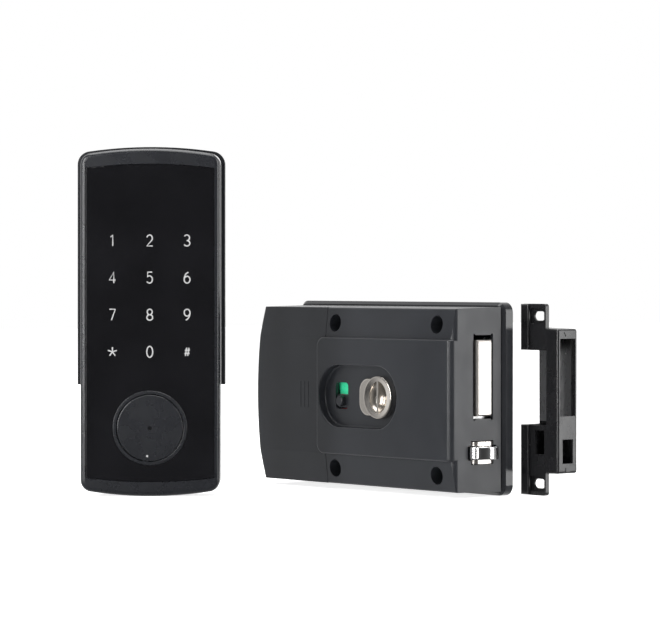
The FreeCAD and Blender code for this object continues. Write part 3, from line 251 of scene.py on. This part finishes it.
def circuit_green(name):
    """Solder mask with copper tracks showing through as a fine grid."""
    paint = Paint(name)
    bricks = paint.add("TexBrick", offset=0.37, squash=1.6)
    bricks.inputs["Scale"].default_value = 160
    bricks.inputs["Mortar Size"].default_value = 0.018
    bricks.inputs["Color1"].default_value = (0.01, 0.10, 0.05, 1)
    bricks.inputs["Color2"].default_value = (0.012, 0.13, 0.06, 1)
    bricks.inputs["Mortar"].default_value = (0.06, 0.26, 0.11, 1)
    paint.link(paint.where, bricks.inputs["Vector"])
    paint.link(bricks.outputs["Color"], paint.shader.inputs["Base Color"])
    paint.rough(low=0.25, high=0.4, scale=300)
    paint.bump(bricks.outputs["Fac"], strength=0.3, depth=0.03 * MM)
    return paint.material


def cell_wrap(name):
    """Dry cells: bare metal at the lower end, dark sleeve, copper-coloured upper band."""
    bare, sleeve, copper = (0.55, 0.55, 0.56), (0.02, 0.02, 0.025), (0.45, 0.22, 0.08)
    paint = Paint(name)
    split = paint.add("SeparateXYZ")
    paint.link(paint.where, split.inputs["Vector"])
    span = paint.add("MapRange")
    low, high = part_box("lock_battery_cells")
    span.inputs["From Min"].default_value = low.z
    span.inputs["From Max"].default_value = high.z
    paint.link(split.outputs["Z"], span.inputs["Value"])
    colour = paint.ramp(span.outputs["Result"],
                        [(0.0, bare), (0.04, sleeve), (0.72, sleeve), (0.74, copper)])
    paint.link(colour, paint.shader.inputs["Base Color"])
    paint.rough(low=0.2, high=0.35, scale=200)
    paint.bump(paint.noise(scale=700), strength=0.1, depth=0.02 * MM)
    paint.put(Metallic=0.3)
    return paint.material


def flag_paint(name, base):
    """Bright paint of the two status flags."""
    paint = Paint(name)
    paint.mottle(base, amount=0.08, scale=200)
    paint.rough(low=0.25, high=0.35, scale=300)
    paint.bump(paint.noise(scale=1500), strength=0.1, depth=0.02 * MM)
    paint.put(Specular_IOR_Level=0.5)
    return paint.material


def key_print(name):
    """Grey printing ink of the legends and the cap's dot."""
    paint = Paint(name)
    paint.mottle((0.40, 0.40, 0.40), amount=0.06, scale=900)
    paint.rough(low=0.4, high=0.55, scale=900)
    paint.bump(paint.noise(scale=3000, detail=1.0), strength=0.1, depth=0.01 * MM)
    return paint.material


FINISHES = {
    "cover_black": satin_plastic(
        "cover_plastic", (0.018, 0.0195, 0.023), low=0.28, high=0.35),
    "base_grey": satin_plastic(
        "base_plastic", (0.022, 0.023, 0.026), low=0.12, high=0.18),
    "nickel": brushed_metal(
        "satin_nickel", (0.72, 0.68, 0.63), low=0.20, high=0.26, along=(900, 900, 120)),
    "bolt_steel": brushed_metal(
        "bolt_steel", (0.94, 0.89, 0.84), low=0.28, high=0.34, along=(300, 1500, 1500)),
    "roller_chrome": polished_metal("roller_chrome", (0.86, 0.86, 0.86)),
    "dark_steel": brushed_metal(
        "plate_steel", (0.30, 0.30, 0.31), low=0.3, high=0.45, along=(200, 1200, 1200)),
    "plain_steel": brushed_metal(
        "plain_steel", (0.6, 0.6, 0.6), low=0.25, high=0.4, along=(1200, 1200, 200)),
    "brass": brushed_metal(
        "brass", (0.72, 0.52, 0.22), low=0.2, high=0.35, along=(1200, 1200, 300)),
    "board_green": circuit_green("board_green"),
    "cell_wrap": cell_wrap("cell_wrap"),
    "white_plastic": satin_plastic(
        "white_plastic", (0.62, 0.62, 0.60), low=0.35, high=0.5),
    "flag_green": flag_paint("flag_green", (0.07, 0.96, 0.48)),
    "flag_red": flag_paint("flag_red", (0.50, 0.012, 0.02)),
    "bezel_metal": coated_metal(
        "bezel_metal", (0.012, 0.013, 0.016), low=0.25, high=0.31),
    "black_glass": black_glass("black_glass"),
    "gasket_rubber": rubber("gasket_rubber"),
    "strike_dark": coated_metal(
        "strike_metal", (0.009, 0.009, 0.010), low=0.22, high=0.30),
    "key_print": key_print("key_print"),
}


def dress(obj, slot):
    obj.data.materials.clear()
    obj.data.materials.append(FINISHES[slot])


for part in RECORD["subparts"]:
    dress(NODES[part["node"]], part["material_slot"])


# --------------------------------------------------------- wires and places

def swept(name, lines, radius, resolution, capped):
    """Mesh of round wires, one along each line of (x, y, z) points."""
    curve = bpy.data.curves.new(name, "CURVE")
    curve.dimensions = "3D"
    curve.bevel_depth = radius
    curve.bevel_resolution = resolution
    curve.use_fill_caps = capped
    for line in lines:
        spline = curve.splines.new("POLY")
        spline.points.add(len(line) - 1)
        for point, place in zip(spline.points, line):
            point.co = (*place, 1)
    shape = put_in_scene(name, curve)
    mesh = bpy.data.meshes.new_from_object(shape)
    bpy.data.objects.remove(shape)
    return mesh


def keypad_axes():
    """Outward and rightward directions of the keypad, from its back mount."""
    back = [mount for mount in RECORD["mounts"] if mount["name"] == "keypad_back"][0]
    out = -Vector(back["axis"]).normalized()
    return out, UP.cross(out)


OUT, RIGHT = keypad_axes()


def middle_of(node):
    low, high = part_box(node)
    return (low + high) / 2


def furthest(node, way):
    """How far the node reaches along a direction."""
    return max(vertex.co.dot(way) for vertex in NODES[node].data.vertices)


def on_face(node, across, up, proud):
    """Point just off a keypad node's face, measured from the cylinder cap's middle."""
    spot = middle_of("keypad_cylinder_cap") + RIGHT * across + UP * up
    return spot + OUT * (furthest(node, OUT) + proud - spot.dot(OUT))


def face_out(spot):
    """Matrix whose x axis is the keypad's right and whose z axis points outward."""
    turn = Matrix((RIGHT, UP, OUT)).transposed().to_4x4()
    return Matrix.Translation(spot) @ turn


# ----------------------------------------------------------- keypad legends

KEY_ROWS = ("123", "456", "789", "*0#")
MIDDLE_COLUMN = 1
KEY_ACROSS = 17.7 * MM      # from one key's middle to the next
KEY_UP = 17.6 * MM
LOWEST_ROW = 36.1 * MM      # above the cylinder cap's middle
DIGIT_TALL = 5.2 * MM
DIGIT_WIDE = 3.0 * MM
LINE_WIDE = 0.62 * MM
PRINT_THICK = 0.03 * MM
BOW_STEPS = 28
STAR_ARMS = 5
STAR_REACH = 2.25 * MM


def bow(across, up, half_wide, half_tall, begin, finish):
    """Points of an elliptic arc in the digit's unit square."""
    angles = [math.radians(begin + (finish - begin) * k / BOW_STEPS)
              for k in range(BOW_STEPS + 1)]
    return [(across + half_wide * math.cos(a), up + half_tall * math.sin(a)) for a in angles]


# Strokes of each character, in a unit square round its middle.
SIX = [bow(0, -0.19, 0.46, 0.31, 0, 360), bow(0.40, -0.16, 0.86, 0.66, 103, 180)]
STROKES = {
    "0": [bow(0, 0, 0.47, 0.5, 0, 360)],
    "1": [[(-0.28, 0.30), (0.06, 0.5), (0.06, -0.5)]],
    "2": [bow(-0.02, 0.20, 0.43, 0.30, 165, -38) + [(-0.46, -0.5), (0.46, -0.5)]],
    "3": [bow(-0.04, 0.24, 0.42, 0.26, 150, -90), bow(-0.04, -0.25, 0.47, 0.25, 90, -150)],
    "4": [[(0.22, -0.5), (0.22, 0.5), (-0.5, -0.22), (0.5, -0.22)]],
    "5": [[(0.38, 0.5), (-0.32, 0.5), (-0.36, 0.08)]
          + bow(-0.05, -0.17, 0.47, 0.33, 130, -145)],
    "6": SIX,
    "7": [[(-0.45, 0.5), (0.45, 0.5), (-0.14, -0.5)]],
    "8": [bow(0, 0.25, 0.39, 0.25, 0, 360), bow(0, -0.25, 0.46, 0.25, 0, 360)],
    "9": [[(-across, -up) for across, up in stroke] for stroke in SIX],
    "#": [[(-0.26, -0.38), (-0.06, 0.38)], [(0.10, -0.38), (0.30, 0.38)],
          [(-0.42, -0.15), (0.40, -0.15)], [(-0.36, 0.15), (0.46, 0.15)]],
}
SPELLED = {"*": "star", "#": "hash"}


def strokes_of(character):
    """Centre lines of one printed character, in metres round its middle."""
    if character == "*":
        arms = [math.radians(90 + 360 / STAR_ARMS * k) for k in range(STAR_ARMS)]
        return [[(0, 0), (STAR_REACH * math.cos(a), STAR_REACH * math.sin(a))] for a in arms]
    return [[(across * DIGIT_WIDE, up * DIGIT_TALL) for across, up in stroke]
            for stroke in STROKES[character]]


def legend(character, across, up):
    """One printed character: thin flat lines on the glass."""
    lines = [[(x, y, 0) for x, y in stroke] for stroke in strokes_of(character)]
    mesh = swept("legend", lines, LINE_WIDE / 2, resolution=2, capped=True)
    mesh.transform(Matrix.Diagonal((1, 1, PRINT_THICK / LINE_WIDE, 1)))
    piece = put_in_scene("key_legend_" + SPELLED.get(character, character), mesh)
    piece.matrix_world = face_out(on_face("keypad_glass", across, up, PRINT_THICK))
    dress(piece, "key_print")
    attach(piece, "lock_case")


for row, characters in enumerate(KEY_ROWS):
    rows_below = len(KEY_ROWS) - 1 - row
    for column, character in enumerate(characters):
        legend(character, (column - MIDDLE_COLUMN) * KEY_ACROSS, LOWEST_ROW + rows_below * KEY_UP)


MARK_ASIDE = -1.2 * MM      # from the cap's middle
MARK_UP = -13.3 * MM
MARK_RADIUS = 0.5 * MM
MARK_SIDES = 24


def cap_mark():
    """Small printed index dot near the lower edge of the cylinder cap."""
    rim = [(MARK_RADIUS * math.cos(math.tau * k / MARK_SIDES),
            MARK_RADIUS * math.sin(math.tau * k / MARK_SIDES)) for k in range(MARK_SIDES)]
    corners = [(x, y, z) for z in (-PRINT_THICK, 0) for x, y in rim]
    faces = [tuple(range(MARK_SIDES, 2 * MARK_SIDES)), tuple(reversed(range(MARK_SIDES)))]
    for k in range(MARK_SIDES):
        after = (k + 1) % MARK_SIDES
        faces.append((k, after, after + MARK_SIDES, k + MARK_SIDES))
    mesh = bpy.data.meshes.new("cap_mark")
    mesh.from_pydata(corners, [], faces)
    piece = put_in_scene("cap_mark", mesh)
    spot = on_face("keypad_cylinder_cap", MARK_ASIDE, MARK_UP, PRINT_THICK / 2)
    piece.matrix_world = face_out(spot)
    dress(piece, "key_print")
    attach(piece, "cylinder_cap")


cap_mark()


# ------------------------------------------------------------- latch spring

WIRE_RADIUS = 0.4 * MM
SPRING_TURNS = 4
TURN_STEPS = 24


def latch_spring():
    """Coil spring of the latch, drawn as a fixed coil; the real spring shortens as the roller is
    pushed in.
    """
    low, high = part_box("lock_latch_spring")
    axis_y, axis_z = (low.y + high.y) / 2, (low.z + high.z) / 2
    radius = (high.z - low.z) / 2 - WIRE_RADIUS
    start, length = low.x + WIRE_RADIUS, high.x - low.x - 2 * WIRE_RADIUS
    steps = SPRING_TURNS * TURN_STEPS
    coil = []
    for index in range(steps + 1):
        angle = 2 * math.pi * index / TURN_STEPS
        coil.append((start + length * index / steps,
                     axis_y + radius * math.cos(angle), axis_z + radius * math.sin(angle)))
    mesh = swept("spring_line", [coil], WIRE_RADIUS, resolution=3, capped=False)
    spring = put_in_scene("latch_spring_coil", mesh)
    dress(spring, "plain_steel")
    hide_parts("lock_latch_spring")
    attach(spring, "lock_case")
    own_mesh(spring)


latch_spring()


# ---------------------------------------------------------- floor and light

FLOOR_HALF = 4.0
WHITE = (1, 1, 1, 1)

# Brightness of the room round the object, by direction: 0 is back toward the camera, 1 is
# straight ahead of it.
ROOM_STOPS = ((0.0, 0.04), (0.15, 0.08), (0.55, 0.32), (0.85, 1.0))


def pale_floor():
    """White floor that glows, to meet the backdrop with no edge, and isn't reflected."""
    level = CAD_BOX[0].z
    corners = [(-FLOOR_HALF, -FLOOR_HALF, level), (FLOOR_HALF, -FLOOR_HALF, level),
               (FLOOR_HALF, FLOOR_HALF, level), (-FLOOR_HALF, FLOOR_HALF, level)]
    mesh = bpy.data.meshes.new("floor")
    mesh.from_pydata(corners, [], [(0, 1, 2, 3)])
    floor = put_in_scene("floor", mesh)
    paint = Paint("floor_white")
    paint.mottle((0.92, 0.92, 0.92), amount=0.01, scale=3)
    paint.put(Roughness=0.9, Specular_IOR_Level=0.1)
    paint.put(Emission_Color=WHITE, Emission_Strength=0.8)
    mesh.materials.append(paint.material)
    floor.visible_glossy = False


def studio_world():
    """White backdrop for the camera; all other rays see the room."""
    world = bpy.data.worlds.new("studio")
    bpy.context.scene.world = world
    world.use_nodes = True
    tree = world.node_tree
    tree.nodes.clear()
    where = tree.nodes.new("ShaderNodeTexCoord")
    along = tree.nodes.new("ShaderNodeVectorMath")
    along.operation = "DOT_PRODUCT"
    along.inputs[1].default_value = LOOK
    tree.links.new(where.outputs["Generated"], along.inputs[0])
    span = tree.nodes.new("ShaderNodeMapRange")
    span.inputs["From Min"].default_value = -1
    tree.links.new(along.outputs["Value"], span.inputs["Value"])
    ramp = tree.nodes.new("ShaderNodeValToRGB")
    set_stops(ramp, [(place, (shade,) * 3) for place, shade in ROOM_STOPS])
    tree.links.new(span.outputs["Result"], ramp.inputs["Fac"])
    room = tree.nodes.new("ShaderNodeBackground")
    tree.links.new(ramp.outputs["Color"], room.inputs["Color"])
    backdrop = tree.nodes.new("ShaderNodeBackground")
    backdrop.inputs["Color"].default_value = WHITE
    rays = tree.nodes.new("ShaderNodeLightPath")
    mix = tree.nodes.new("ShaderNodeMixShader")
    tree.links.new(rays.outputs["Is Camera Ray"], mix.inputs["Fac"])
    tree.links.new(room.outputs["Background"], mix.inputs[1])
    tree.links.new(backdrop.outputs["Background"], mix.inputs[2])
    output = tree.nodes.new("ShaderNodeOutputWorld")
    tree.links.new(mix.outputs["Shader"], output.inputs["Surface"])


def softbox(name, near, aside, up, wide, tall, power):
    """Area light aimed at the object's middle, placed in metres from it.

    near is toward the camera and aside is to the right of the picture; power is in watts.
    """
    middle = (CAD_BOX[0] + CAD_BOX[1]) / 2
    data = bpy.data.lights.new(name, "AREA")
    data.shape = "RECTANGLE"
    data.size = wide
    data.size_y = tall
    data.energy = power
    lamp = put_in_scene(name, data)
    lamp.location = middle - LOOK * near + ASIDE * aside + UP * up
    aim = (middle - lamp.location).normalized()
    lamp.rotation_euler = aim.to_track_quat("-Z", "Y").to_euler()


bpy.context.scene.view_settings.view_transform = "Standard"
pale_floor()
studio_world()
softbox("key_left", near=0.80, aside=-1.0, up=0.35, wide=0.28, tall=1.0, power=11)
softbox("edge_strip", near=1.20, aside=-0.52, up=0.30, wide=0.12, tall=1.0, power=4)
softbox("fill_right", near=0.30, aside=1.2, up=0.30, wide=0.5, tall=1.1, power=7)
softbox("overhead", near=0.0, aside=0.0, up=1.3, wide=1.6, tall=1.0, power=16)
